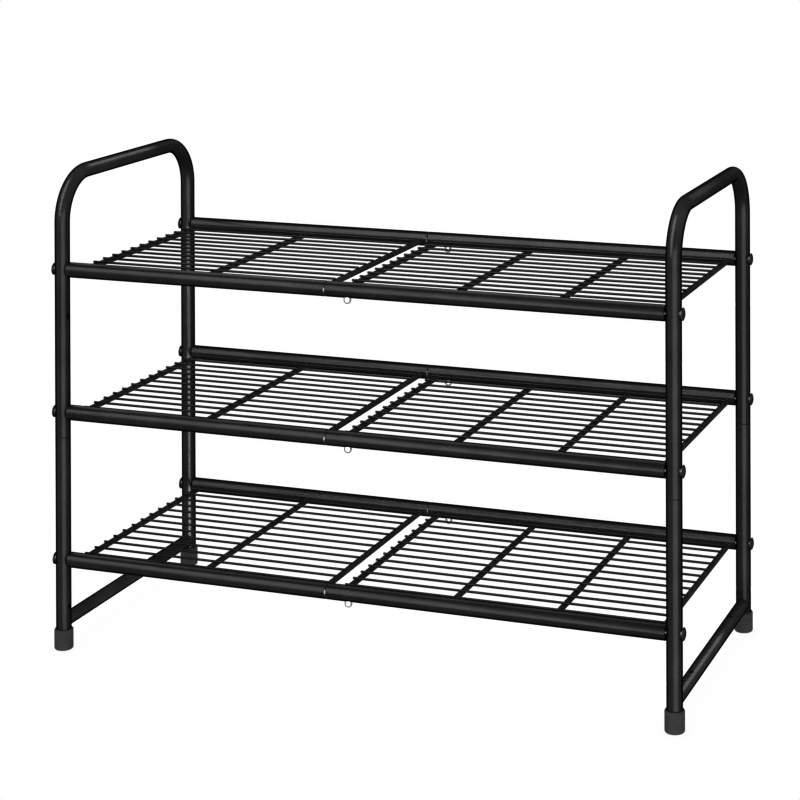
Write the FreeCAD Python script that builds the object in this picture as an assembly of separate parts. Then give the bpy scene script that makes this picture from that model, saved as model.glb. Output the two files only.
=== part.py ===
import FreeCAD, Part
import math
import os

# Three-tier tube and wire shoe rack, knock-down construction, in millimetres.
# Origin at floor level, centre of the footprint. X is the width (right side
# frame at +X), Y the depth (front at -Y), Z is up. Each shelf is made of two
# half shelves, joined by rail spigots and snap buttons.

Vector = FreeCAD.Vector
X_AXIS, Y_AXIS, Z_AXIS = Vector(1, 0, 0), Vector(0, 1, 0), Vector(0, 0, 1)
os.makedirs("parts", exist_ok=True)

# --- shared dimensions -----------------------------------------------------
LEG_X = 341.0                 # leg axis, half of the frame width
LEG_Y = 140.0                 # leg and rail axis, half of the frame depth
TIER_Z = {"bottom": 96.3, "middle": 254.9, "top": 408.4}   # rail axis heights
SIDES = {"left": -1, "right": 1}
ENDS = {"front": -1, "rear": 1}

WALL = 0.8                    # tube wall
TUBE_R = 8.0                  # side frames and rails
BORE_R = TUBE_R - WALL
SPIGOT_R = BORE_R - 0.1       # swaged tube end, clear in the bore
SPIGOT_BORE_R = SPIGOT_R - WALL
SPIGOT_TIP_L = 1.2            # taper at the spigot tip
SPIGOT_TIP_INSET = 0.5
SEAM_EDGE = 0.25              # broken edge where two tubes meet
BOLT_R = 3.0                  # M6


# --- helpers ---------------------------------------------------------------
def save(shape, name):
    shape.exportStep("parts/%s.step" % name)


def cylinder(radius, start, end):
    run = end - start
    return Part.makeCylinder(radius, run.Length, start, run)


def revolved(profile, origin, axis_dir, radial_dir):
    """Revolve a closed (radius, height) outline about axis_dir at origin.

    A point with four values (radius, height, mid_radius, mid_height) is
    reached along an arc through its middle point."""
    def at(radius, height):
        return origin + radial_dir * radius + axis_dir * height

    edges = []
    for start, end in zip(profile, profile[1:] + profile[:1]):
        a, b = at(*start[:2]), at(*end[:2])
        if len(end) == 4:
            edges.append(Part.Arc(a, at(*end[2:]), b).toShape())
        else:
            edges.append(Part.LineSegment(a, b).toShape())
    return Part.Face(Part.Wire(edges)).revolve(origin, axis_dir, 360)


def one(shape):
    """The single solid of a boolean result, tidied."""
    tidy = shape.removeSplitter()
    return tidy.Solids[0] if len(tidy.Solids) == 1 else tidy


# --- side frames -----------------------------------------------------------
HANDLE_Z = 508.4              # axis of the handle run
BEND_R = 50.0                 # centre-line bend radius
LEG_SEAM_Z = 229.0            # where upper frame and lower leg meet
LEG_SEAM_GAP = 0.4
LEG_SPIGOT_L = 45.0           # spigot length inside the upper frame
LEG_FOOT_Z = 3.0              # lower end of the leg, on the cap's floor
LEG_BORE_TAPER = (2.0, 5.0)   # start and end of the bore taper below the shoulder
BOLT_HOLE_R = 3.25
BOLT_HOLE_REACH = 12.0        # cutter length each way from the leg axis
SPARE_DROP = 50.0             # spare hole below the top and the bottom tier

CAP_R = 10.0
CAP_H = 21.7
CAP_BORE_R = TUBE_R - 0.10    # rubber interference on the leg
CAP_LOWER_EDGE = [(1.6, 0), (0.75, 0.3), (0.2, 0.95), (0, 1.8)]   # inset, height
CAP_TOP_EDGE = (0.8, 1.1)     # chamfer width and height
CAP_MOUTH_EDGE = (0.45, 0.6)  # chamfer width and height

BASE_BAR_Z = 29.4
BASE_BAR_R = 7.0
DRAIN_Y = 80.0                # holes through the top wall of the base bar
DRAIN_R = 2.4


def bent_run(x, radius):
    """Solid run up the front leg, over the handle and down the rear leg."""
    bend_z = HANDLE_Z - BEND_R
    bend_y = LEG_Y - BEND_R
    diagonal = BEND_R * math.sqrt(0.5)
    mid_y, mid_z = bend_y + diagonal, bend_z + diagonal

    def line(y1, z1, y2, z2):
        return Part.LineSegment(Vector(x, y1, z1), Vector(x, y2, z2)).toShape()

    def arc(*points):
        return Part.Arc(*[Vector(x, y, z) for y, z in points]).toShape()

    path = Part.Wire([
        line(-LEG_Y, LEG_SEAM_Z, -LEG_Y, bend_z),
        arc((-LEG_Y, bend_z), (-mid_y, mid_z), (-bend_y, HANDLE_Z)),
        line(-bend_y, HANDLE_Z, bend_y, HANDLE_Z),
        arc((bend_y, HANDLE_Z), (mid_y, mid_z), (LEG_Y, bend_z)),
        line(LEG_Y, bend_z, LEG_Y, LEG_SEAM_Z)])
    circle = Part.Circle(Vector(x, -LEG_Y, LEG_SEAM_Z), Z_AXIS, radius)
    return path.makePipeShell([Part.Wire([circle.toShape()])], True, True)


def cut_bolt_holes(body, x, y, heights):
    """Cut through holes along X across one leg."""
    for z in heights:
        body = body.cut(cylinder(BOLT_HOLE_R, Vector(x - BOLT_HOLE_REACH, y, z),
                                 Vector(x + BOLT_HOLE_REACH, y, z)))
    return body


def upper_frame(x):
    body = bent_run(x, TUBE_R).cut(bent_run(x, BORE_R))
    heights = (TIER_Z["top"], TIER_Z["middle"], TIER_Z["top"] - SPARE_DROP)
    for y in (-LEG_Y, LEG_Y):
        body = cut_bolt_holes(body, x, y, heights)
    return one(body)


def lower_leg(x, y):
    """Straight leg with a swaged spigot at its upper end."""
    shoulder = LEG_SEAM_Z - LEG_SEAM_GAP
    tip = LEG_SEAM_Z + LEG_SPIGOT_L
    taper_top, taper_bottom = LEG_BORE_TAPER
    leg = revolved([
        (BORE_R, LEG_FOOT_Z), (TUBE_R, LEG_FOOT_Z),
        (TUBE_R, shoulder - SEAM_EDGE), (TUBE_R - SEAM_EDGE, shoulder),
        (SPIGOT_R, shoulder), (SPIGOT_R, tip - SPIGOT_TIP_L),
        (SPIGOT_R - SPIGOT_TIP_INSET, tip), (SPIGOT_BORE_R, tip),
        (SPIGOT_BORE_R, shoulder - taper_top), (BORE_R, shoulder - taper_bottom),
    ], Vector(x, y, 0), Z_AXIS, X_AXIS)
    heights = (TIER_Z["bottom"], TIER_Z["bottom"] - SPARE_DROP, TIER_Z["middle"])
    return one(cut_bolt_holes(leg, x, y, heights))


def foot_cap(x, y):
    """Push-on rubber cap."""
    top_w, top_h = CAP_TOP_EDGE
    mouth_w, mouth_h = CAP_MOUTH_EDGE
    profile = [(0, 0)] + [(CAP_R - inset, height) for inset, height in CAP_LOWER_EDGE]
    profile += [(CAP_R, CAP_H - top_h), (CAP_R - top_w, CAP_H),
                (CAP_BORE_R + mouth_w, CAP_H), (CAP_BORE_R, CAP_H - mouth_h),
                (CAP_BORE_R, LEG_FOOT_Z), (0, LEG_FOOT_Z)]
    return one(revolved(profile, Vector(x, y, 0), Z_AXIS, X_AXIS))


def base_bar(x):
    """Bar between the legs of one side, ends coped to them."""
    bar = cylinder(BASE_BAR_R, Vector(x, -LEG_Y, BASE_BAR_Z), Vector(x, LEG_Y, BASE_BAR_Z))
    bar = bar.cut(cylinder(BASE_BAR_R - WALL, Vector(x, -LEG_Y - 1, BASE_BAR_Z),
                           Vector(x, LEG_Y + 1, BASE_BAR_Z)))
    for y in (-LEG_Y, LEG_Y):
        bar = bar.cut(cylinder(TUBE_R, Vector(x, y, 0), Vector(x, y, 120)))
    for y in (-DRAIN_Y, DRAIN_Y):
        bar = bar.cut(cylinder(DRAIN_R, Vector(x, y, BASE_BAR_Z),
                               Vector(x, y, BASE_BAR_Z + 12)))
    return one(bar)


# --- rails -----------------------------------------------------------------
RAIL_END_X = LEG_X - TUBE_R   # square-cut end, touching the leg
RAIL_EDGE = 0.2               # broken edge at the leg
HALF_SEAM_X = -28.6           # where the two half shelves meet
RAIL_SEAM_GAP = 0.2
RAIL_SPIGOT_L = 55.0          # left rail's spigot inside the right rail
SHOULDER_L = 1.5              # cone between tube and spigot
RAIL_BORE_TAPER = (0.5, 2.0)  # start and end of the bore taper before the spigot
BUTTON_X = -6.2
BUTTON_R = 3.75
BUTTON_HOLE_R = BUTTON_R + 0.10


def cut_button_hole(rail, y, z):
    """Cut the snap button's hole through the lower wall."""
    return one(rail.cut(cylinder(BUTTON_HOLE_R, Vector(BUTTON_X, y, z - 12),
                                 Vector(BUTTON_X, y, z - 1))))


def left_rail(y, z):
    """Plain tube, then a swaged spigot that enters the right rail."""
    start = -RAIL_END_X
    spigot = HALF_SEAM_X - RAIL_SEAM_GAP
    tip = HALF_SEAM_X + RAIL_SPIGOT_L
    taper_right, taper_left = RAIL_BORE_TAPER
    rail = revolved([
        (BORE_R, start), (TUBE_R - RAIL_EDGE, start), (TUBE_R, start + RAIL_EDGE),
        (TUBE_R, spigot - SHOULDER_L), (SPIGOT_R, spigot),
        (SPIGOT_R, tip - SPIGOT_TIP_L), (SPIGOT_R - SPIGOT_TIP_INSET, tip),
        (SPIGOT_BORE_R, tip), (SPIGOT_BORE_R, spigot - taper_right),
        (BORE_R, spigot - taper_left),
    ], Vector(0, y, z), X_AXIS, Y_AXIS)
    return cut_button_hole(rail, y, z)


def right_rail(y, z):
    start, end = HALF_SEAM_X, RAIL_END_X
    rail = revolved([
        (BORE_R, start), (TUBE_R - SEAM_EDGE, start), (TUBE_R, start + SEAM_EDGE),
        (TUBE_R, end - RAIL_EDGE), (TUBE_R - RAIL_EDGE, end), (BORE_R, end),
    ], Vector(0, y, z), X_AXIS, Y_AXIS)
    return cut_button_hole(rail, y, z)


# --- crossbars and deck wires ----------------------------------------------
BAR_R = 2.95
BAR_DZ = -2.65                # crossbar axis from the rail axis
BAR_END_INSET = 3.0           # uncoped bar end, short of the rail axis
BAR_X = {"left": (-324.35, -181.9, -39.4), "right": (-16.0, 101.0, 212.95, 324.85)}
WIRE_R = 1.15
WIRE_DZ = 1.37                # wire axis from the rail axis
WIRE_PITCH = 20.0
WIRE_COUNT = 13
WIRE_EDGE = 0.3
WIRE_SPAN = {"left": (-326.4, -38.0), "right": (-18.8, 326.9)}   # first, last x


def crossbars(positions, z):
    """Round bars between the rails, ends coped onto them."""
    rails = [cylinder(TUBE_R, Vector(-400, y, z), Vector(400, y, z))
             for y in (-LEG_Y, LEG_Y)]
    end_y = LEG_Y - BAR_END_INSET
    bars = []
    for x in positions:
        bar = cylinder(BAR_R, Vector(x, -end_y, z + BAR_DZ), Vector(x, end_y, z + BAR_DZ))
        for rail in rails:
            bar = bar.cut(rail)
        # keep the bar itself, not any sliver beyond a rail
        bars.append(max(bar.Solids, key=lambda solid: solid.Volume))
    return Part.makeCompound(bars)


def deck_wires(span, z):
    start, end = span
    face_r = WIRE_R - WIRE_EDGE
    profile = [(0, start), (face_r, start), (WIRE_R, start + WIRE_EDGE),
               (WIRE_R, end - WIRE_EDGE), (face_r, end), (0, end)]
    wires = []
    for i in range(WIRE_COUNT):
        y = (i - (WIRE_COUNT - 1) / 2.0) * WIRE_PITCH
        wires.append(revolved(profile, Vector(0, y, z + WIRE_DZ), X_AXIS, Y_AXIS))
    return Part.makeCompound(wires)


# --- rail fixings ----------------------------------------------------------
INSERT_FACE_X = RAIL_END_X - 0.3   # just inside the rail end
INSERT_L = 16.0
INSERT_R = BORE_R + 0.05      # press fit
INSERT_BORE_R = BOLT_R + 0.05
BOLT_REACH = 12.0             # bolt length inside the insert
HEAD_R = 6.35                 # low round head
HEAD_H = 2.5
HEAD_RIM = 0.8
HEAD_EDGE = 0.25
CROWN_STEPS = 9
HEX_AF = 4.0                  # socket, across flats
HEX_DEPTH = 1.7
WASHER_R = 4.75
WASHER_T = 0.9                # thickness over the tube's crown
WASHER_BORE_R = BOLT_R + 0.15
WASHER_BLANK_DX = 4.0         # blank's inner face from the leg axis
SEAT_X = LEG_X + TUBE_R + WASHER_T   # underside of the bolt head


def insert(side, y, z):
    """Threaded insert in a rail end."""
    profile = [(INSERT_BORE_R, 0), (INSERT_R - 0.4, 0), (INSERT_R, 0.5),
               (INSERT_R, INSERT_L - 0.8), (INSERT_R - 0.8, INSERT_L),
               (INSERT_BORE_R, INSERT_L)]
    return revolved(profile, Vector(side * INSERT_FACE_X, y, z), Vector(-side, 0, 0), Y_AXIS)


def bolt(side, y, z):
    """Bolt with a crowned round head and a hexagon socket."""
    seat = Vector(side * SEAT_X, y, z)
    outward = Vector(side, 0, 0)
    length = SEAT_X - INSERT_FACE_X + BOLT_REACH
    profile = [(0, -length), (BOLT_R - 0.7, -length), (BOLT_R, -length + 0.9),
               (BOLT_R, 0), (HEAD_R - HEAD_EDGE, 0), (HEAD_R, HEAD_EDGE),
               (HEAD_R, HEAD_RIM)]
    # crown in short straight steps from the rim to the axis
    rise = HEAD_H - HEAD_RIM
    crown_r = (HEAD_R ** 2 + rise ** 2) / (2 * rise)
    for i in range(1, CROWN_STEPS):
        angle = math.asin(HEAD_R / crown_r) * (1 - i / CROWN_STEPS)
        profile.append((crown_r * math.sin(angle),
                        HEAD_H - crown_r * (1 - math.cos(angle))))
    profile.append((0, HEAD_H))
    body = revolved(profile, seat, outward, Y_AXIS)

    corner_r = HEX_AF / math.sqrt(3)
    floor = seat + outward * (HEAD_H - HEX_DEPTH)
    corners = [floor + Vector(0, corner_r * math.cos(angle), corner_r * math.sin(angle))
               for angle in [math.pi / 3 * i for i in range(6)]]
    socket = Part.Face(Part.makePolygon(corners + [corners[0]])).extrude(outward * 4)
    return one(body.cut(socket))


def washer(side, y, z):
    """Saddle washer: flat under the bolt head, hollowed to the leg tube."""
    inner = Vector(side * (LEG_X + WASHER_BLANK_DX), y, z)
    outer = Vector(side * SEAT_X, y, z)
    beyond = Vector(side, 0, 0)
    body = cylinder(WASHER_R, inner, outer)
    body = body.cut(cylinder(TUBE_R, Vector(side * LEG_X, y, z - 20),
                             Vector(side * LEG_X, y, z + 20)))
    return one(body.cut(cylinder(WASHER_BORE_R, inner - beyond, outer + beyond)))


# --- snap button and its spring, heights from the rail axis ----------------
BUTTON_TIP_Z = -TUBE_R - 6.2
DOME_H = 3.2                  # spherical end of the button
ARM_Z = -5.2                  # underside of the spring's lower arm
LEAF_T = 0.5
LEAF_W = 7.0
LEAF_PLAY = 0.05              # button's clearance on each face of the arm
NECK_R = 1.25
NECK_HOLE_R = 1.3
FOLD_X = BUTTON_X + 22.0      # centre of the spring's fold
FOLD_R = 1.3
FOLD_STEPS = 8


def snap_button(y, z):
    """Domed pin with a rivet head that holds it on the leaf."""
    ball_r = (BUTTON_R ** 2 + DOME_H ** 2) / (2 * DOME_H)
    mid_angle = math.asin(BUTTON_R / ball_r) / 2
    shoulder = ARM_Z - LEAF_PLAY
    rivet = ARM_Z + LEAF_T + LEAF_PLAY
    profile = [
        (0, BUTTON_TIP_Z),
        (BUTTON_R, BUTTON_TIP_Z + DOME_H, ball_r * math.sin(mid_angle),
         BUTTON_TIP_Z + ball_r * (1 - math.cos(mid_angle))),
        (BUTTON_R, shoulder - 0.3), (BUTTON_R - 0.3, shoulder), (NECK_R, shoulder),
        (NECK_R, rivet), (1.9, rivet), (1.6, rivet + 0.5), (0, rivet + 0.55)]
    return revolved(profile, Vector(BUTTON_X, y, z), Z_AXIS, X_AXIS)


def button_spring(y, z):
    """V-shaped leaf in the spigot: the lower arm carries the button, the
    upper arm bears on the top of the bore."""
    low = ARM_Z + LEAF_T / 2
    # centre line in x, z
    line = [(BUTTON_X - 9.0, low + 0.5), (BUTTON_X - 6.0, low),
            (BUTTON_X + 5.5, low), (FOLD_X, -FOLD_R)]
    for i in range(1, FOLD_STEPS):
        angle = -math.pi / 2 + math.pi * i / FOLD_STEPS
        line.append((FOLD_X + FOLD_R * math.cos(angle), FOLD_R * math.sin(angle)))
    line += [(FOLD_X, FOLD_R), (BUTTON_X + 5.5, -low), (BUTTON_X - 9.0, -low)]

    # offset each point half the thickness along the mean normal of its segments
    one_face, other_face = [], []
    for i, (px, pz) in enumerate(line):
        nx, nz = 0.0, 0.0
        for (ax, az), (bx, bz) in zip(line[max(i - 1, 0):i + 1], line[max(i - 1, 0) + 1:i + 2]):
            length = math.hypot(bx - ax, bz - az)
            nx -= (bz - az) / length
            nz += (bx - ax) / length
        scale = LEAF_T / 2 / math.hypot(nx, nz)
        one_face.append((px + nx * scale, pz + nz * scale))
        other_face.append((px - nx * scale, pz - nz * scale))
    ring = [Vector(px, y - LEAF_W / 2, z + pz) for px, pz in one_face + other_face[::-1]]
    leaf = Part.Face(Part.makePolygon(ring + [ring[0]])).extrude(Vector(0, LEAF_W, 0))
    return one(leaf.cut(cylinder(NECK_HOLE_R, Vector(BUTTON_X, y, z - 8),
                                 Vector(BUTTON_X, y, z - 1))))


# --- build -----------------------------------------------------------------
for side, side_sign in SIDES.items():
    x = side_sign * LEG_X
    save(upper_frame(x), side + "_upper_frame")
    save(base_bar(x), side + "_base_bar")
    for end, end_sign in ENDS.items():
        y = end_sign * LEG_Y
        save(lower_leg(x, y), "%s_%s_lower_leg" % (side, end))
        save(foot_cap(x, y), "%s_%s_foot_cap" % (side, end))

FIXINGS = {"rail_inserts": insert, "rail_bolts": bolt, "saddle_washers": washer}
CORNERS = [(side, y) for side in (-1, 1) for y in (-LEG_Y, LEG_Y)]

for tier, z in TIER_Z.items():
    for end, end_sign in ENDS.items():
        y = end_sign * LEG_Y
        save(left_rail(y, z), "%s_left_%s_rail" % (tier, end))
        save(right_rail(y, z), "%s_right_%s_rail" % (tier, end))
        save(snap_button(y, z), "%s_%s_snap_button" % (tier, end))
        save(button_spring(y, z), "%s_%s_button_spring" % (tier, end))
    for side in SIDES:
        save(crossbars(BAR_X[side], z), "%s_%s_crossbars" % (tier, side))
        save(deck_wires(WIRE_SPAN[side], z), "%s_%s_deck_wires" % (tier, side))
    for name, make in FIXINGS.items():
        save(Part.makeCompound([make(side, y, z) for side, y in CORNERS]),
             "%s_%s" % (tier, name))
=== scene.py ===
import math

import bmesh
import bpy
from mathutils import Matrix, Vector


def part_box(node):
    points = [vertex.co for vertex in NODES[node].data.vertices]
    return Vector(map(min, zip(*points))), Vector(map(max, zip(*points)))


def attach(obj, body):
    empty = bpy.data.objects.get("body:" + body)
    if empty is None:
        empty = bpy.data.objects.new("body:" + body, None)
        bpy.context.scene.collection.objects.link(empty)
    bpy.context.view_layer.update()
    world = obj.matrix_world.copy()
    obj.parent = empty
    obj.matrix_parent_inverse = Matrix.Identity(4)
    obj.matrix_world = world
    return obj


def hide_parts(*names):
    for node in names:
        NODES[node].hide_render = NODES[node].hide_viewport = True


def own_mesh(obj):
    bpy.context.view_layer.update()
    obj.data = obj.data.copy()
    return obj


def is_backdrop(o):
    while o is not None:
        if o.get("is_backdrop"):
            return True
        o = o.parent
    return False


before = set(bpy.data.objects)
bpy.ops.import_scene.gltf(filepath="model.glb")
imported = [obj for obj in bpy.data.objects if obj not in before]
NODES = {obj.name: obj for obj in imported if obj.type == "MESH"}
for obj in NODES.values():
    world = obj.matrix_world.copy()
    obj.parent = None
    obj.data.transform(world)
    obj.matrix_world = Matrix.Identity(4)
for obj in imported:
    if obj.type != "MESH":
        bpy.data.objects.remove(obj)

bpy.context.view_layer.update()
SCENE = bpy.context.scene
TIERS = ("bottom", "middle", "top")
ENDS = ("front", "rear")
SIDES = ("left", "right")


def mm(v):
    return v / 1000.0


Z = Vector((0, 0, 1))

# ---------------------------------------------------------------------------
# camera: low, right of centre, with a shifted lens so that uprights stay upright
# ---------------------------------------------------------------------------
cam_data = bpy.data.cameras.new("photo_camera")
cam = bpy.data.objects.new("photo_camera", cam_data)
SCENE.collection.objects.link(cam)
SCENE.camera = cam
CAM_AZ, CAM_EL, CAM_ROLL = 0.3284214985988791, 0.005799423565248836, -0.0029994717294848884
f = Vector((-math.sin(CAM_AZ) * math.cos(CAM_EL), math.cos(CAM_AZ) * math.cos(CAM_EL), -math.sin(CAM_EL)))
r = f.cross(Z).normalized()
u = r.cross(f)
c, s = math.cos(CAM_ROLL), math.sin(CAM_ROLL)
r, u = r * c + u * s, u * c - r * s
CAM_AT = Vector((0.913726, -2.179591, 0.886936))
cam.matrix_world = Matrix.Translation(CAM_AT) @ Matrix((r, u, -f)).transposed().to_4x4()
cam_data.sensor_width = 36.0
cam_data.lens = 97.7817
cam_data.clip_start = 0.02
cam_data.clip_end = 200.0
for channel, value in (("shift_x", -0.19182), ("shift_y", -0.70552)):
    setattr(cam_data, channel, value)
    drv = cam_data.driver_add(channel).driver
    drv.type = "SCRIPTED"
    var = drv.variables.new()
    var.name = "x"
    var.type = "TRANSFORMS"
    var.targets[0].id = cam
    var.targets[0].transform_type = "LOC_X"
    var.targets[0].transform_space = "WORLD_SPACE"
    drv.expression = "%.5f if abs(x - %.6f) < 0.0005 else 0.0" % (value, CAM_AT.x)


def follow(owner, path, expression, index=-1):
    """Drive a value by where the camera stands (x, y), so that the lights keep their
    places relative to the viewer, like a rack turned on a turntable in a fixed studio."""
    drv = (owner.driver_add(path) if index < 0 else owner.driver_add(path, index)).driver
    drv.type = "SCRIPTED"
    for axis in ("x", "y"):
        v = drv.variables.new()
        v.name = axis
        v.type = "TRANSFORMS"
        v.targets[0].id = cam
        v.targets[0].transform_type = "LOC_" + axis.upper()
        v.targets[0].transform_space = "WORLD_SPACE"
    drv.expression = expression


HOME = math.atan2(CAM_AT.x, -CAM_AT.y)
TURN = "atan2(x, -y) - %.7f" % HOME
# uprights take their highlight from boxes that turn with the viewer, bars and rails
# from boxes on the mirrored side, which turn the other way
RIG = {}
for rig_name, turned in (("turning_rig", TURN), ("mirrored_rig", "-(%s)" % TURN)):
    RIG[rig_name] = bpy.data.objects.new(rig_name, None)
    SCENE.collection.objects.link(RIG[rig_name])
    follow(RIG[rig_name], "rotation_euler", turned, 2)

# ---------------------------------------------------------------------------
# node helpers
# ---------------------------------------------------------------------------
class Tree:
    """A thin wrapper that adds nodes to a tree and wires values or sockets in."""

    def __init__(self, tree):
        self.t = tree
        self.n = tree.nodes
        self.n.clear()

    def put(self, socket, value):
        if isinstance(value, bpy.types.NodeSocket):
            self.t.links.new(value, socket)
        else:
            socket.default_value = value

    def add(self, kind, props=None, **inputs):
        node = self.n.new(kind)
        for k, v in (props or {}).items():
            setattr(node, k, v)
        for k, v in inputs.items():
            key = int(k[1:]) if k[0] == "i" and k[1:].isdigit() else k.replace("_", " ")
            self.put(node.inputs[key], v)
        return node

    def math(self, op, a, b=None, c=None, clamp=False):
        node = self.n.new("ShaderNodeMath")
        node.operation = op
        node.use_clamp = clamp
        for i, v in enumerate((a, b, c)):
            if v is not None:
                self.put(node.inputs[i], v)
        return node.outputs[0]

    def vmath(self, op, a, b=None):
        node = self.n.new("ShaderNodeVectorMath")
        node.operation = op
        for i, v in enumerate((a, b)):
            if v is not None:
                self.put(node.inputs[i], v)
        return node.outputs["Value"] if op in ("DOT_PRODUCT", "LENGTH") else node.outputs[0]

    def remap(self, v, a, b, c, d, smooth=False):
        node = self.n.new("ShaderNodeMapRange")
        node.interpolation_type = "SMOOTHSTEP" if smooth else "LINEAR"
        for i, x in enumerate((v, a, b, c, d)):
            self.put(node.inputs[i], x)
        return node.outputs[0]

    def mix(self, f, a, b):
        node = self.n.new("ShaderNodeMix")
        node.data_type = "RGBA"
        self.put(node.inputs["Factor"], f)
        self.put(node.inputs[6], a)
        self.put(node.inputs[7], b)
        return node.outputs[2]

    def noise(self, vec, scale, detail=2.0, rough=0.5, distort=0.0):
        node = self.add("ShaderNodeTexNoise", {"noise_dimensions": "3D"})
        self.put(node.inputs["Vector"], vec)
        self.put(node.inputs["Scale"], scale)
        self.put(node.inputs["Detail"], detail)
        self.put(node.inputs["Roughness"], rough)
        self.put(node.inputs["Distortion"], distort)
        return node.outputs["Fac"]


def grey(v, warm=0.0):
    return (v * (1 + warm), v, v * (1 - warm), 1.0)


def material(name):
    m = bpy.data.materials.new(name)
    m.use_nodes = True
    return m, Tree(m.node_tree)


def edge_mask(t, radius, samples=4):
    """0 on open surfaces, towards 1 on outside edges, with the softened normal."""
    bev = t.add("ShaderNodeBevel", {"samples": samples}, Radius=radius)
    geo = t.add("ShaderNodeNewGeometry")
    d = t.vmath("DOT_PRODUCT", bev.outputs[0], geo.outputs["Normal"])
    return t.remap(d, 0.985, 0.86, 0.0, 1.0), bev.outputs[0]


def outline_shade(t, co, axis):
    """Painted shade: 1 on the open face of a round tube, falling to 0 close to its outline as the viewer sees it."""
    if axis == "frame":
        # the side frames follow their own bend: find the tube's direction from the place
        sep = t.add("ShaderNodeSeparateXYZ", None, Vector=co)
        lo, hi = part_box("left_upper_frame")
        r = (hi.x - lo.x) / 2
        yb, zb = hi.y - r - mm(50), hi.z - r - mm(50)
        dy = t.math("SUBTRACT", sep.outputs[1],
                    t.math("MINIMUM", t.math("MAXIMUM", sep.outputs[1], -yb), yb))
        dz = t.math("MAXIMUM", t.math("SUBTRACT", sep.outputs[2], zb), 0.0)
        comb = t.add("ShaderNodeCombineXYZ")
        t.put(comb.inputs[1], t.math("MULTIPLY", dz, -1.0))
        t.put(comb.inputs[2], dy)
        a = t.vmath("NORMALIZE", comb.outputs[0])
    else:
        a = {"x": (1.0, 0.0, 0.0), "y": (0.0, 1.0, 0.0), "z": (0.0, 0.0, 1.0)}[axis]
    geo = t.add("ShaderNodeNewGeometry")
    av = t.vmath("DOT_PRODUCT", geo.outputs["Incoming"], a)
    nv = t.vmath("DOT_PRODUCT", geo.outputs["Incoming"], geo.outputs["Normal"])
    open_sq = t.math("MAXIMUM", t.math("SUBTRACT", 1.0, t.math("MULTIPLY", av, av)), 0.04)
    c = t.math("DIVIDE", t.math("MULTIPLY", nv, nv), open_sq)
    u = t.math("SQRT", t.math("MAXIMUM", t.math("SUBTRACT", 1.0, c), 0.0))
    return t.remap(t.math("SUBTRACT", 1.0, u), 0.06, 0.28, 0.0, 1.0, True)


def at_home(t):
    """1 seen from the camera's own place, 0 from about 20 degrees away."""
    near = t.add("ShaderNodeValue").outputs[0]
    follow(near, "default_value", "max(0, 1 - abs(%s) / 0.35)" % TURN)
    return near


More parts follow.
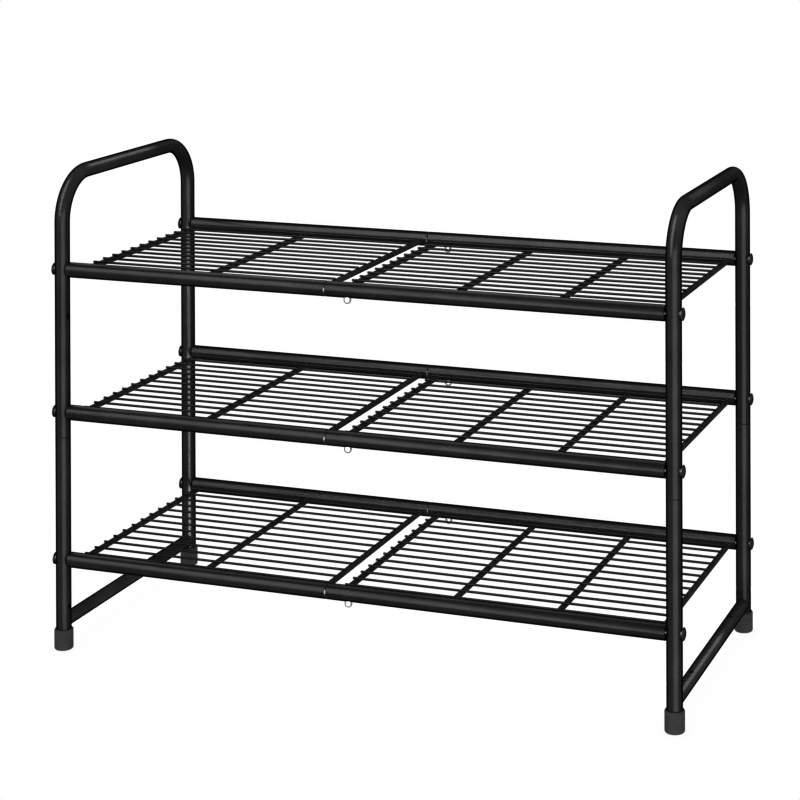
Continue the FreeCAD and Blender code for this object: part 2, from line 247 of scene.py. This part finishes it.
def powder_coat(name, base=0.10, rough=0.24, peel=0.10, edge_r=0.35, edge_tone=0.16, bevel=True, tint=0.0, axis=None, seam=None):
    """Satin powder coat: orange-peel skin, cloudy gloss, pinholes, thin worn edges; with painted shade towards tube
    outlines, painted light along the handle run, painted shade where the bars' streak fades and a painted highlight
    on the rail seam cone.
    """
    m, t = material(name)
    co = t.add("ShaderNodeTexCoord").outputs["Object"]
    cloud = t.noise(co, 26.0, 3.0, 0.55)
    streak = t.noise(t.vmath("MULTIPLY", co, (1.0, 1.0, 1.0)), 9.0, 2.0, 0.5, 0.6)
    skin = t.noise(co, 1150.0, 2.0, 0.55)
    fine = t.noise(co, 4200.0, 1.0, 0.5)
    pits = t.add("ShaderNodeTexVoronoi", {"feature": "F1"}, Vector=co, Scale=1300.0).outputs["Distance"]
    pit = t.remap(pits, 0.02, 0.11, 1.0, 0.0)
    ior = 1.5
    tone = t.remap(cloud, 0.3, 0.7, base * 0.86, base * 1.16)
    tone = t.math("MULTIPLY", tone, t.remap(fine, 0.25, 0.75, 0.9, 1.1))
    tone = t.math("MULTIPLY", tone, t.remap(pit, 0.0, 1.0, 1.0, 0.7))
    # painted shade: the base colour darkens towards each round tube's outline as the viewer sees it
    if axis is not None:
        tone = t.math("MULTIPLY", tone, t.remap(outline_shade(t, co, axis), 0.0, 1.0, 0.10, 1.0))
    if axis == "frame":
        # painted light: the base colour is made lighter along the handle run at the top of the frame
        high = t.add("ShaderNodeSeparateXYZ", None, Vector=co).outputs[2]
        tone = t.math("MULTIPLY", tone, t.remap(high, 0.470, 0.500, 1.0, 1.35, True))
        # the far left upright is glossier as seen from the camera's own place
        at = t.add("ShaderNodeSeparateXYZ", None, Vector=co).outputs
        here = t.math("MULTIPLY", t.remap(at[0], -0.330, -0.325, 1.0, 0.0), t.remap(at[1], 0.12, 0.13, 0.0, 1.0))
        here = t.math("MULTIPLY", here, t.remap(at[2], 0.45, 0.47, 1.0, 0.0, True))
        ior = t.math("ADD", 1.5, t.math("MULTIPLY", t.math("MULTIPLY", here, at_home(t)), 0.5))
    spec = 0.5
    if axis in ("frame", "y"):
        # as seen from the camera's own place the streak along the bars dies out towards the rear, and the base
        # colour there is darkened too: painted shade
        at = t.add("ShaderNodeSeparateXYZ", None, Vector=co).outputs
        if axis == "y":
            rear_fade_shade = t.remap(at[1], 0.008, 0.045, 0.0, 1.0, True)
        else:
            right = t.remap(at[0], -0.01, 0.01, 0.0, 1.0)
            rear_fade_shade = t.math("ADD", t.math("MULTIPLY", t.remap(at[1], 0.026, 0.062, 0.0, 1.0, True), t.math("SUBTRACT", 1.0, right)),
                          t.math("MULTIPLY", t.remap(at[1], -0.065, 0.030, 0.0, 1.0, True), right))
            rear_fade_shade = t.math("MULTIPLY", rear_fade_shade, t.remap(at[2], 0.470, 0.490, 0.0, 1.0, True))
        rear_fade_shade = t.math("MULTIPLY", rear_fade_shade, at_home(t))
        spec = t.math("SUBTRACT", 0.5, t.math("MULTIPLY", rear_fade_shade, 0.48))
        # painted shade: the base colour darkens where the streak dies out
        tone = t.math("MULTIPLY", tone, t.math("SUBTRACT", 1.0, t.math("MULTIPLY", rear_fade_shade, 0.32)))
    comb = t.add("ShaderNodeCombineColor")
    t.put(comb.inputs[0], t.math("MULTIPLY", tone, 1.0 + tint))
    t.put(comb.inputs[1], tone)
    t.put(comb.inputs[2], t.math("MULTIPLY", tone, 1.0 - tint))
    colour = comb.outputs[0]
    r = t.remap(streak, 0.32, 0.68, rough - 0.022, rough + 0.03)
    r = t.math("ADD", r, t.remap(fine, 0.3, 0.7, -0.012, 0.014))
    normal_in = None
    if bevel:
        edge, soft = edge_mask(t, mm(edge_r))
        worn = t.math("MULTIPLY", edge, t.remap(t.noise(co, 420.0, 3.0, 0.6), 0.42, 0.60, 0.15, 1.0))
        colour = t.mix(worn, colour, grey(edge_tone, 0.02))
        r = t.math("ADD", r, t.math("MULTIPLY", worn, 0.10))
        normal_in = soft
    metal = 0.0
    if seam is not None:
        # painted highlight: the cone where the two rail tubes meet is painted light grey and made partly metallic,
        # for a bright sliver there
        x = t.add("ShaderNodeSeparateXYZ", None, Vector=co).outputs[0]
        seam_glint = t.math("MULTIPLY", t.remap(x, seam - mm(1.72), seam - mm(1.45), 0.0, 1.0),
                     t.remap(x, seam - mm(0.25), seam - mm(0.05), 1.0, 0.0))
        seam_glint = t.math("MULTIPLY", seam_glint, t.remap(t.noise(co, 380.0, 2.0, 0.5), 0.35, 0.6, 0.75, 1.0))
        colour = t.mix(seam_glint, colour, grey(0.34))
        metal = t.math("MULTIPLY", seam_glint, 0.6)
    height = t.math("ADD", t.math("MULTIPLY", skin, 1.0), t.math("MULTIPLY", fine, 0.18))
    height = t.math("SUBTRACT", height, t.math("MULTIPLY", pit, 0.5))
    bump = t.add("ShaderNodeBump", None, Strength=peel, Distance=mm(0.10), Height=height)
    if normal_in is not None:
        t.put(bump.inputs["Normal"], normal_in)
    bsdf = t.add("ShaderNodeBsdfPrincipled", None, Base_Color=colour, Metallic=metal, Roughness=r, IOR=ior, Specular_IOR_Level=spec, Normal=bump.outputs[0])
    out = t.add("ShaderNodeOutputMaterial")
    t.put(out.inputs["Surface"], bsdf.outputs[0])
    m.diffuse_color = grey(0.02)
    return m


def rubber(name):
    """Moulded foot rubber: dull, finely grained, paler and scuffed at the edges."""
    m, t = material(name)
    co = t.add("ShaderNodeTexCoord").outputs["Object"]
    grain = t.noise(co, 2100.0, 3.0, 0.6)
    blotch = t.noise(co, 160.0, 3.0, 0.6)
    sep = t.add("ShaderNodeSeparateXYZ", None, Vector=co)
    low = t.remap(sep.outputs[2], 0.0, mm(3.5), 1.0, 0.0)
    edge, soft = edge_mask(t, mm(0.5))
    base = t.remap(blotch, 0.3, 0.7, 0.185, 0.225)
    base = t.math("MULTIPLY", base, t.remap(grain, 0.3, 0.7, 0.90, 1.10))
    comb = t.add("ShaderNodeCombineColor")
    for i in range(3):
        t.put(comb.inputs[i], base)
    scuff = t.math("MULTIPLY", t.math("MAXIMUM", edge, t.math("MULTIPLY", low, 0.6)),
                   t.remap(t.noise(co, 520.0, 4.0, 0.7), 0.45, 0.68, 0.0, 0.8))
    colour = t.mix(scuff, comb.outputs[0], grey(0.29, 0.02))
    height = t.math("ADD", grain, t.math("MULTIPLY", blotch, 0.8))
    bump = t.add("ShaderNodeBump", None, Strength=0.35, Distance=mm(0.08), Height=height, Normal=soft)
    bsdf = t.add("ShaderNodeBsdfPrincipled", None, Base_Color=colour,
                 Roughness=t.remap(blotch, 0.3, 0.7, 0.62, 0.78), IOR=1.45, Normal=bump.outputs[0])
    bsdf.inputs["Specular IOR Level"].default_value = 0.3
    out = t.add("ShaderNodeOutputMaterial")
    t.put(out.inputs["Surface"], bsdf.outputs[0])
    m.diffuse_color = grey(0.05)
    return m


def plated(name, base=0.55, rough=0.25, metallic=1.0, scratch=0.12, rim=None, white=0.0):
    """Plated or bare steel: fine turning lines, cloudy roughness, and painted shade that darkens the colour at
    grazing angles if rim is given.
    """
    m, t = material(name)
    co = t.add("ShaderNodeTexCoord").outputs["Object"]
    cloud = t.noise(co, 300.0, 3.0, 0.6)
    lines = t.noise(t.vmath("MULTIPLY", co, (1.0, 1.0, 9.0)), 1700.0, 2.0, 0.5)
    edge, soft = edge_mask(t, mm(0.25))
    tone = t.remap(cloud, 0.3, 0.7, base * 0.93, min(1.0, base * 1.05))
    comb = t.add("ShaderNodeCombineColor")
    t.put(comb.inputs[0], tone)
    t.put(comb.inputs[1], tone)
    t.put(comb.inputs[2], t.math("MULTIPLY", tone, 0.985))
    colour = comb.outputs[0]
    # painted shade: the colour turns towards grey(rim) at grazing angles
    if rim is not None:
        facing = t.add("ShaderNodeLayerWeight", None, Blend=0.5).outputs["Facing"]
        colour = t.mix(t.remap(facing, 0.38, 0.80, 0.0, 1.0, True), colour, grey(rim))
    r = t.remap(lines, 0.3, 0.7, rough - 0.04, rough + 0.06)
    r = t.math("ADD", r, t.math("MULTIPLY", edge, 0.06))
    bump = t.add("ShaderNodeBump", None, Strength=scratch, Distance=mm(0.03), Height=lines, Normal=soft)
    bsdf = t.add("ShaderNodeBsdfPrincipled", None, Base_Color=colour, Metallic=metallic, Roughness=r, Normal=bump.outputs[0])
    out = t.add("ShaderNodeOutputMaterial")
    t.put(out.inputs["Surface"], bsdf.outputs[0])
    m.diffuse_color = grey(base)
    return m


def black_zinc(name, bright_inside, head=0.20, rough=0.34):
    """Black zinc plating: a sooty metallic sheen, turning lines, rubbed edges.
    Nearer the middle of the rack than bright_inside the plating is plain bright zinc (the shanks)."""
    m, t = material(name)
    co = t.add("ShaderNodeTexCoord").outputs["Object"]
    sep = t.add("ShaderNodeSeparateXYZ", None, Vector=co)
    ax = t.math("ABSOLUTE", sep.outputs[0])
    cloud = t.noise(co, 240.0, 4.0, 0.6)
    fine = t.noise(co, 2600.0, 2.0, 0.6)
    lines = t.noise(t.vmath("MULTIPLY", co, (14.0, 1.0, 1.0)), 1500.0, 2.0, 0.5)
    edge, soft = edge_mask(t, mm(0.30))
    worn = t.math("MULTIPLY", edge, t.remap(t.noise(co, 700.0, 3.0, 0.6), 0.40, 0.62, 0.1, 1.0))
    tone = t.math("MULTIPLY", t.remap(cloud, 0.3, 0.7, head * 0.85, head * 1.2), t.remap(fine, 0.3, 0.7, 0.9, 1.1))
    dark = t.add("ShaderNodeCombineColor")
    t.put(dark.inputs[0], tone)
    t.put(dark.inputs[1], tone)
    t.put(dark.inputs[2], t.math("MULTIPLY", tone, 1.03))
    dark = t.mix(worn, dark.outputs[0], grey(head * 1.7))
    zinc = t.remap(ax, bright_inside, bright_inside + mm(0.3), 1.0, 0.0)
    colour = t.mix(zinc, dark, grey(0.85))
    r = t.math("ADD", t.remap(lines, 0.3, 0.7, rough - 0.04, rough + 0.05), t.math("MULTIPLY", worn, -0.05))
    bump = t.add("ShaderNodeBump", None, Strength=0.10, Distance=mm(0.03),
                 Height=t.math("ADD", lines, t.math("MULTIPLY", fine, 0.6)), Normal=soft)
    bsdf = t.add("ShaderNodeBsdfPrincipled", None, Base_Color=colour, Metallic=t.math("MAXIMUM", zinc, 0.35), Roughness=r, Normal=bump.outputs[0])
    out = t.add("ShaderNodeOutputMaterial")
    t.put(out.inputs["Surface"], bsdf.outputs[0])
    m.diffuse_color = grey(head)
    return m


LEG_AT = (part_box("right_front_lower_leg")[0].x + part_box("right_front_lower_leg")[1].x) / 2
SEAM_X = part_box("top_right_front_rail")[0].x          # where the half shelves meet
# painted light and shade: one black powder coat gets a lighter base tone on the base bars and crossbars and a darker
# one on the wires, by how light falls on them
MAT = {
    "frame_coat": powder_coat("frame_coat_black", 0.122, 0.235, 0.040, axis="frame"),
    "leg_coat": powder_coat("frame_leg_coat_black", 0.122, 0.235, 0.040, axis="z"),
    "bar_coat": powder_coat("frame_base_bar_coat_black", 0.185, 0.235, 0.040, axis="y"),
    "shelf_coat": powder_coat("shelf_coat_black", 0.104, 0.230, 0.05, axis="x", seam=SEAM_X),
    "crossbar_coat": powder_coat("shelf_crossbar_coat_black", 0.15, 0.25, 0.06, bevel=False),
    "wire_coat": powder_coat("shelf_wire_coat_black", 0.060, 0.27, 0.05, bevel=False),
    "weld_coat": powder_coat("coated_weld_black", 0.090, 0.30, 0.22, bevel=False),
    "black_fastener": black_zinc("black_zinc_fastener", LEG_AT),
    "insert_steel": plated("insert_dark_zinc", 0.16, 0.40),
    "button_steel": plated("button_bright_nickel", 0.90, 0.30, metallic=0.35, scratch=0.05, rim=0.10),
    "spring_steel": plated("spring_strip_steel", 0.46, 0.28),
    "foot_rubber": rubber("foot_rubber_black"),
}


def finish_of(node):
    if node.endswith("foot_cap"):
        return "foot_rubber"
    if node.endswith("crossbars"):
        return "crossbar_coat"
    if node.endswith("deck_wires"):
        return "wire_coat"
    if node.endswith("_rail"):
        return "shelf_coat"
    if node.endswith(("rail_bolts", "saddle_washers")):
        return "black_fastener"
    if node.endswith("rail_inserts"):
        return "insert_steel"
    if node.endswith("snap_button"):
        return "button_steel"
    if node.endswith("button_spring"):
        return "spring_steel"
    if node.endswith("lower_leg"):
        return "leg_coat"
    if node.endswith("base_bar"):
        return "bar_coat"
    return "frame_coat"


for name, ob in NODES.items():
    ob.data.materials.clear()
    ob.data.materials.append(MAT[finish_of(name)])
    if name.endswith("snap_button"):                # each end closes in a facet of no area on the axis
        span = [[f(v.co[k] for v in ob.data.vertices) for f in (min, max)] for k in (0, 1)]
        mid = [(lo + hi) / 2 for lo, hi in span]
        tips = [v.index for v in ob.data.vertices if math.hypot(v.co[0] - mid[0], v.co[1] - mid[1]) < 2e-5]
        ob.vertex_groups.new(name="tips").add(tips, 1.0, "REPLACE")
        weld = ob.modifiers.new("close_tips", "WELD")
        weld.vertex_group = "tips"
        weld.merge_threshold = 1e-6

# ---------------------------------------------------------------------------
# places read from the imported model
# ---------------------------------------------------------------------------
RAIL = {}
for tier in TIERS:
    for end in ENDS:
        lo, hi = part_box("%s_left_%s_rail" % (tier, end))
        c = (lo + hi) / 2
        RAIL[tier, end] = (c.y, c.z, (hi.z - lo.z) / 2)
LEG = {}
for side in SIDES:
    for end in ENDS:
        lo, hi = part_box("%s_%s_lower_leg" % (side, end))
        c = (lo + hi) / 2
        LEG[side, end] = (c.x, c.y, (hi.x - lo.x) / 2)


def islands(ob):
    """Bounding boxes of the separate solids in one CAD node."""
    me = ob.data
    parent = list(range(len(me.vertices)))

    def root(i):
        while parent[i] != i:
            parent[i] = parent[parent[i]]
            i = parent[i]
        return i

    seen = {}
    for v in me.vertices:
        key = (round(v.co.x, 6), round(v.co.y, 6), round(v.co.z, 6))
        if key in seen:
            parent[root(v.index)] = root(seen[key])
        else:
            seen[key] = v.index
    for e in me.edges:
        a, b = root(e.vertices[0]), root(e.vertices[1])
        if a != b:
            parent[a] = b
    boxes = {}
    for v in me.vertices:
        k = root(v.index)
        if k not in boxes:
            boxes[k] = [v.co.copy(), v.co.copy()]
        else:
            boxes[k][0] = Vector(map(min, boxes[k][0], v.co))
            boxes[k][1] = Vector(map(max, boxes[k][1], v.co))
    return sorted(boxes.values(), key=lambda b: (round(b[0].x, 4), round(b[0].y, 4), round(b[0].z, 4)))


def piece(name, bm, mat, smooth=True, body="root"):
    me = bpy.data.meshes.new(name)
    bmesh.ops.recalc_face_normals(bm, faces=bm.faces)
    bm.to_mesh(me)
    bm.free()
    for p in me.polygons:
        p.use_smooth = smooth
    me.materials.append(mat)
    ob = bpy.data.objects.new(name, me)
    SCENE.collection.objects.link(ob)
    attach(ob, body)
    return ob


def ripple(a, seed, n=3):
    """A repeatable uneven run, about -1..1, closed over one turn."""
    s = 0.0
    for k in range(1, n + 1):
        s += math.sin(a * (3 * k + seed % 4) + seed * 1.7 * k) / k
    return s / 1.8


def weld_ring(bm, centre, axis, up, bar_r, surf, w, seed, steps=56, arc=7):
    """A closed fillet bead where a round bar runs into a round tube.

    centre: a point on the bar's axis, axis: unit vector along the bar away from
    the tube, up: unit vector square to it, surf(p): (distance along axis from
    centre to the tube's skin, outward normal of the skin there)."""
    side = axis.cross(up)
    rings = []
    for i in range(steps):
        a = 2 * math.pi * i / steps
        radial = side * math.cos(a) + up * math.sin(a)
        foot = centre + radial * bar_r
        d, nrm = surf(foot)
        root_pt = foot + axis * d
        along = axis.copy()
        out = radial - nrm * radial.dot(nrm)
        if out.length < 1e-6:
            out = radial.copy()
        out.normalize()
        ww = w * (1 + 0.12 * ripple(a, seed) + 0.05 * math.sin(14 * a + seed))
        ring = []
        inner = root_pt - (along + out).normalized() * (w * 0.45)
        ring.append(bm.verts.new(inner))
        for k in range(arc):
            f = k / (arc - 1)
            ang = f * math.pi / 2
            # flatter than a quarter circle: a slightly crowned fillet
            ca, sa = math.cos(ang), math.sin(ang)
            q = ww / (ca + sa) * (1.0 + 0.16 * math.sin(math.pi * f))
            p = root_pt + along * (q * ca) + out * (q * sa)
            # keep the ends just under the two skins so that no slit shows
            if k == 0:
                p -= radial * mm(0.12)
            if k == arc - 1:
                p -= nrm * mm(0.12)
            ring.append(bm.verts.new(p))
        rings.append(ring)
    n = len(rings[0])
    for i in range(steps):
        r0, r1 = rings[i], rings[(i + 1) % steps]
        for k in range(n):
            bm.faces.new((r0[k], r1[k], r1[(k + 1) % n], r0[(k + 1) % n]))


# ---------------------------------------------------------------------------
# weld beads: crossbars to rails, base bars to legs
# ---------------------------------------------------------------------------
for tier in TIERS:
    for side in SIDES:
        bm = bmesh.new()
        seed = 1
        for lo, hi in islands(NODES["%s_%s_crossbars" % (tier, side)]):
            x, zc, rb = (lo.x + hi.x) / 2, (lo.z + hi.z) / 2, (hi.z - lo.z) / 2
            for end in ENDS:
                ry, rz, rr = RAIL[tier, end]
                inward = Vector((0, -1 if ry > 0 else 1, 0))

                def surf(p, ry=ry, rz=rz, rr=rr, inward=inward):
                    h = math.sqrt(max(rr * rr - (p.z - rz) ** 2, 1e-12))
                    y = ry + inward.y * h
                    n = Vector((0, inward.y * h, p.z - rz)).normalized()
                    return (y - p.y) * inward.y, n

                weld_ring(bm, Vector((x, 0, zc)), inward, Z, rb, surf, mm(1.15), seed)
                seed += 1
        piece("%s_%s_crossbar_welds" % (tier, side), bm, MAT["weld_coat"])

for side in SIDES:
    lo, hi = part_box("%s_base_bar" % side)
    x, zc, rb = (lo.x + hi.x) / 2, (lo.z + hi.z) / 2, (hi.z - lo.z) / 2
    bm = bmesh.new()
    for k, end in enumerate(ENDS):
        lx, ly, lr = LEG[side, end]
        inward = Vector((0, -1 if ly > 0 else 1, 0))

        def surf(p, lx=lx, ly=ly, lr=lr, inward=inward):
            h = math.sqrt(max(lr * lr - (p.x - lx) ** 2, 1e-12))
            y = ly + inward.y * h
            n = Vector((p.x - lx, inward.y * h, 0)).normalized()
            return (y - p.y) * inward.y, n

        weld_ring(bm, Vector((x, 0, zc)), inward, Z, rb, surf, mm(0.9), 5 + k, steps=96)
    piece("%s_base_bar_welds" % side, bm, MAT["weld_coat"])

# ---------------------------------------------------------------------------
# spot-weld flash: where every deck wire is fused down on a crossbar
# ---------------------------------------------------------------------------


def nugget(bm, c, ax, ay, az, seed, seg=14, rows=4):
    """A small flattened, uneven collar, closed below."""
    rings = []
    for j in range(rows):
        f = j / rows
        h = math.sin(f * math.pi / 2)
        s = math.cos(f * math.pi / 2) ** 0.8
        ring = []
        for i in range(seg):
            a = 2 * math.pi * i / seg
            u = 1 + 0.10 * ripple(a, seed)
            ring.append(bm.verts.new(c + Vector((ax * u * s * math.cos(a), ay * u * s * math.sin(a), az * h))))
        rings.append(ring)
    top = bm.verts.new(c + Vector((0, 0, az)))
    bot = bm.verts.new(c - Vector((0, 0, az * 1.4)))
    for a, b in zip(rings, rings[1:]):
        for i in range(seg):
            k = (i + 1) % seg
            bm.faces.new((a[i], a[k], b[k], b[i]))
    for i in range(seg):
        k = (i + 1) % seg
        bm.faces.new((rings[-1][i], rings[-1][k], top))
        bm.faces.new((rings[0][k], rings[0][i], bot))


for tier in TIERS:
    for side in SIDES:
        bars = islands(NODES["%s_%s_crossbars" % (tier, side)])
        wires = islands(NODES["%s_%s_deck_wires" % (tier, side)])
        bm = bmesh.new()
        seed = 3
        for blo, bhi in bars:
            for wlo, whi in wires:
                xb, yw = (blo.x + bhi.x) / 2, (wlo.y + whi.y) / 2
                rw = (whi.z - wlo.z) / 2
                c = Vector((xb, yw, bhi.z - mm(0.32)))
                nugget(bm, c, mm(1.55) + mm(0.1) * math.sin(seed), rw + mm(0.75), mm(0.95), seed)
                seed += 1
        piece("%s_%s_wire_spot_welds" % (tier, side), bm, MAT["weld_coat"])

# ---------------------------------------------------------------------------
# button springs: a copy of the bent strip inside each left rail, which on the real rack closes up as its button goes
# in
# ---------------------------------------------------------------------------
for tier in TIERS:
    for end in ENDS:
        node = "%s_%s_button_spring" % (tier, end)
        lo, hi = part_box(node)
        ob = bpy.data.objects.new("%s_%s_leaf_spring" % (tier, end), NODES[node].data.copy())
        SCENE.collection.objects.link(ob)
        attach(ob, "root")
        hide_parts(node)
        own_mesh(ob)

# ---------------------------------------------------------------------------
# floor, world and lights
# ---------------------------------------------------------------------------
bm = bmesh.new()
S = 26.0
quad = [bm.verts.new(p) for p in ((-S, -S, 0), (S, -S, 0), (S, S, 0), (-S, S, 0))]
bm.faces.new(quad)
me = bpy.data.meshes.new("studio_floor")
bm.to_mesh(me)
bm.free()
floor = bpy.data.objects.new("studio_floor", me)
floor.location = (0, 0, -mm(0.1))
SCENE.collection.objects.link(floor)
floor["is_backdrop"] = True
floor.visible_glossy = False
floor.visible_diffuse = False
floor.visible_shadow = False
floor.visible_transmission = False

m, t = material("studio_floor_white")
# painted shadow: the glowing floor is darkened where ambient occlusion finds the feet close by
ao = t.add("ShaderNodeAmbientOcclusion", {"samples": 8}, Distance=0.030)
shade = t.remap(ao.outputs["AO"], 0.25, 1.0, 0.965, 1.0, True)
em = t.add("ShaderNodeEmission", None, Color=(1, 1, 1, 1), Strength=t.math("MULTIPLY", shade, 1.0))
clear = t.add("ShaderNodeBsdfTransparent")
back = t.add("ShaderNodeNewGeometry").outputs["Backfacing"]
ms = t.add("ShaderNodeMixShader", None, i0=back, i1=em.outputs[0], i2=clear.outputs[0])
out = t.add("ShaderNodeOutputMaterial")
t.put(out.inputs["Surface"], ms.outputs[0])
me.materials.append(m)


def ang(az, el):
    """Unit vector towards azimuth az (0 = in front of the rack, + = to its right) and elevation el."""
    a, e = math.radians(az), math.radians(el)
    return Vector((math.sin(a) * math.cos(e), -math.cos(a) * math.cos(e), math.sin(e)))


# brightness of every light, as radiance with the white floor at 1
POWER = {
    "even": 1.0, "front_fill": 0.30, "room": 0.03, "right_box": 3.3,
    "key_front_rails": 4.6, "top_rear_front_rails": 2.3, "key_rest": 5.2,
    "handle_rim": 2.6, "right_handle_rim": 0.45, "bar_rim": 2.1, "rear_leg": 10.5, "button_fill": 1.0,
}

# world: white for the camera, a dim soft studio for everything else
world = bpy.data.worlds.new("soft_studio")
SCENE.world = world
world.use_nodes = True
t = Tree(world.node_tree)
direction = t.add("ShaderNodeTexCoord").outputs["Generated"]
total = None


def add_light(v):
    global total
    total = v if total is None else t.math("ADD", total, v)


def glow(az, el, hw, hh, soft, power, roll=0.0):
    """A soft-edged rectangle of light in the sky round (az, el), in degrees."""
    f = ang(az, el)
    r = f.cross(Z).normalized()
    u = r.cross(f)
    c, s = math.cos(math.radians(roll)), math.sin(math.radians(roll))
    r, u = r * c + u * s, u * c - r * s
    x = t.vmath("DOT_PRODUCT", direction, tuple(r))
    y = t.vmath("DOT_PRODUCT", direction, tuple(u))
    z = t.vmath("DOT_PRODUCT", direction, tuple(f))
    h = t.math("ABSOLUTE", t.math("ARCTAN2", x, z))
    v = t.math("ABSOLUTE", t.math("ARCSINE", y))
    mh = t.remap(h, math.radians(hw + soft), math.radians(hw - soft), 0.0, 1.0, True)
    mv = t.remap(v, math.radians(hh + soft), math.radians(hh - soft), 0.0, 1.0, True)
    add_light(t.math("MULTIPLY", t.math("MULTIPLY", mh, mv), power))


sep = t.add("ShaderNodeSeparateXYZ", None, Vector=direction)
turn = t.add("ShaderNodeValue")
follow(turn.outputs[0], "default_value", TURN)
depth = t.math("SUBTRACT", t.math("MULTIPLY", sep.outputs[1], t.math("COSINE", turn.outputs[0])),
               t.math("MULTIPLY", sep.outputs[0], t.math("SINE", turn.outputs[0])))
frontness = t.remap(depth, -0.9, 0.5, 1.0, 0.0, True)
add_light(t.math("ADD", t.math("MULTIPLY", frontness, POWER["front_fill"]), POWER["room"]))
bg_cam = t.add("ShaderNodeBackground", None, Color=(1, 1, 1, 1), Strength=1.0)
bg_lit = t.add("ShaderNodeBackground", None, Color=(1, 1, 1, 1), Strength=total)
path = t.add("ShaderNodeLightPath").outputs["Is Camera Ray"]
bg_even = t.add("ShaderNodeBackground", None, Color=(1, 1, 1, 1), Strength=POWER["even"])
matt = t.add("ShaderNodeLightPath").outputs["Is Diffuse Ray"]
ms = t.add("ShaderNodeMixShader", None, i0=matt, i1=bg_lit.outputs[0], i2=bg_even.outputs[0])
ms = t.add("ShaderNodeMixShader", None, i0=path, i1=ms.outputs[0], i2=bg_cam.outputs[0])
out = t.add("ShaderNodeOutputWorld")
t.put(out.inputs["Surface"], ms.outputs[0])


def linked(name, members):
    col = bpy.data.collections.new(name)
    for o in members:
        col.objects.link(o)
    return col


def softbox(name, az, el, dist, hw, hh, radiance, roll=0.0, only=None, centre=(0, 0, 0.25), matt=False, rig="mirrored_rig", fade=None):
    """A rectangular softbox seen from centre under half angles hw x hh at (az, el)."""
    data = bpy.data.lights.new(name, "AREA")
    data.shape = "RECTANGLE"
    data.size = 2 * dist * math.tan(math.radians(hw))
    data.size_y = 2 * dist * math.tan(math.radians(hh))
    data.energy = radiance * math.pi * data.size * data.size_y
    ob = bpy.data.objects.new(name, data)
    SCENE.collection.objects.link(ob)
    f = ang(az, el)
    q = f.to_track_quat("Z", "Y")
    ob.rotation_mode = "QUATERNION"
    ob.rotation_quaternion = q @ Matrix.Rotation(math.radians(roll), 3, "Z").to_quaternion()
    ob.location = Vector(centre) + f * dist
    ob.parent = RIG[rig]
    if fade:
        # taken back where the viewer looks along the bars and would only see glare
        follow(data, "energy", "%.4f * min(1, (1 - abs(%s) / sqrt(x * x + y * y)) / %.3f)" % ((data.energy,) + fade))
    ob.visible_camera = False
    ob.visible_diffuse = matt
    if only is not None:
        ob.light_linking.receiver_collection = only
    return ob


front_rails = linked("front_rails", [NODES[n] for n in NODES if n.endswith("front_rail")])
others = linked("all_but_front_rails", [o for o in SCENE.objects if o.type == "MESH" and not o.name.endswith("front_rail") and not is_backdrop(o)])
buttons = linked("buttons", [NODES[n] for n in NODES if n.endswith("snap_button")])

rim_parts = linked("left_upper_frame", [NODES["left_upper_frame"]])
rim_right = linked("right_upper_frame_only", [NODES["right_upper_frame"]])
rim_bar = linked("right_base_bar", [NODES["right_base_bar"]])
rear_leg = linked("left_rear_lower_leg", [NODES["left_rear_lower_leg"]])

softbox("right_box", 36, -7, 2.6, 31, 25, POWER["right_box"], rig="turning_rig")
softbox("key_front_rails", -25.3, 18.4, 4.0, 11, 37, POWER["key_front_rails"], roll=28, only=front_rails, fade=("x", 0.2))
softbox("top_rear_front_rails", -143.7, 50, 4.0, 16, 25, POWER["top_rear_front_rails"], roll=-29, only=front_rails, fade=("x", 0.2))
softbox("key_rest", -27.2, 41.6, 4.0, 16, 38, POWER["key_rest"], roll=19, only=others, fade=("x", 0.2))
softbox("handle_rim", 171, 28, 4.0, 10.5, 13, POWER["handle_rim"], only=rim_parts, fade=("y", 0.06))
softbox("right_handle_rim", 171.7, 15.4, 4.0, 10.5, 13, POWER["right_handle_rim"], only=rim_right, centre=(0.341, 0, 0.508), fade=("y", 0.06))
softbox("bar_rim", 161, 18, 4.0, 10.5, 13, POWER["bar_rim"], only=rim_bar, fade=("y", 0.06))
kicker = softbox("rear_leg_kicker", 38, -10, 4.0, 15, 26, POWER["rear_leg"], only=rear_leg, rig="turning_rig")
follow(kicker.data, "energy", "%.4f * max(0, 1 - abs(%s) / 0.35)" % (kicker.data.energy, TURN))
softbox("button_fill", 10, 4, 2.0, 40, 40, POWER["button_fill"], only=buttons, matt=True, rig="turning_rig")

# ---------------------------------------------------------------------------
# colour
# ---------------------------------------------------------------------------
SCENE.view_settings.view_transform = "Raw"
SCENE.view_settings.look = "None"
SCENE.render.film_transparent = False

bpy.context.view_layer.update()
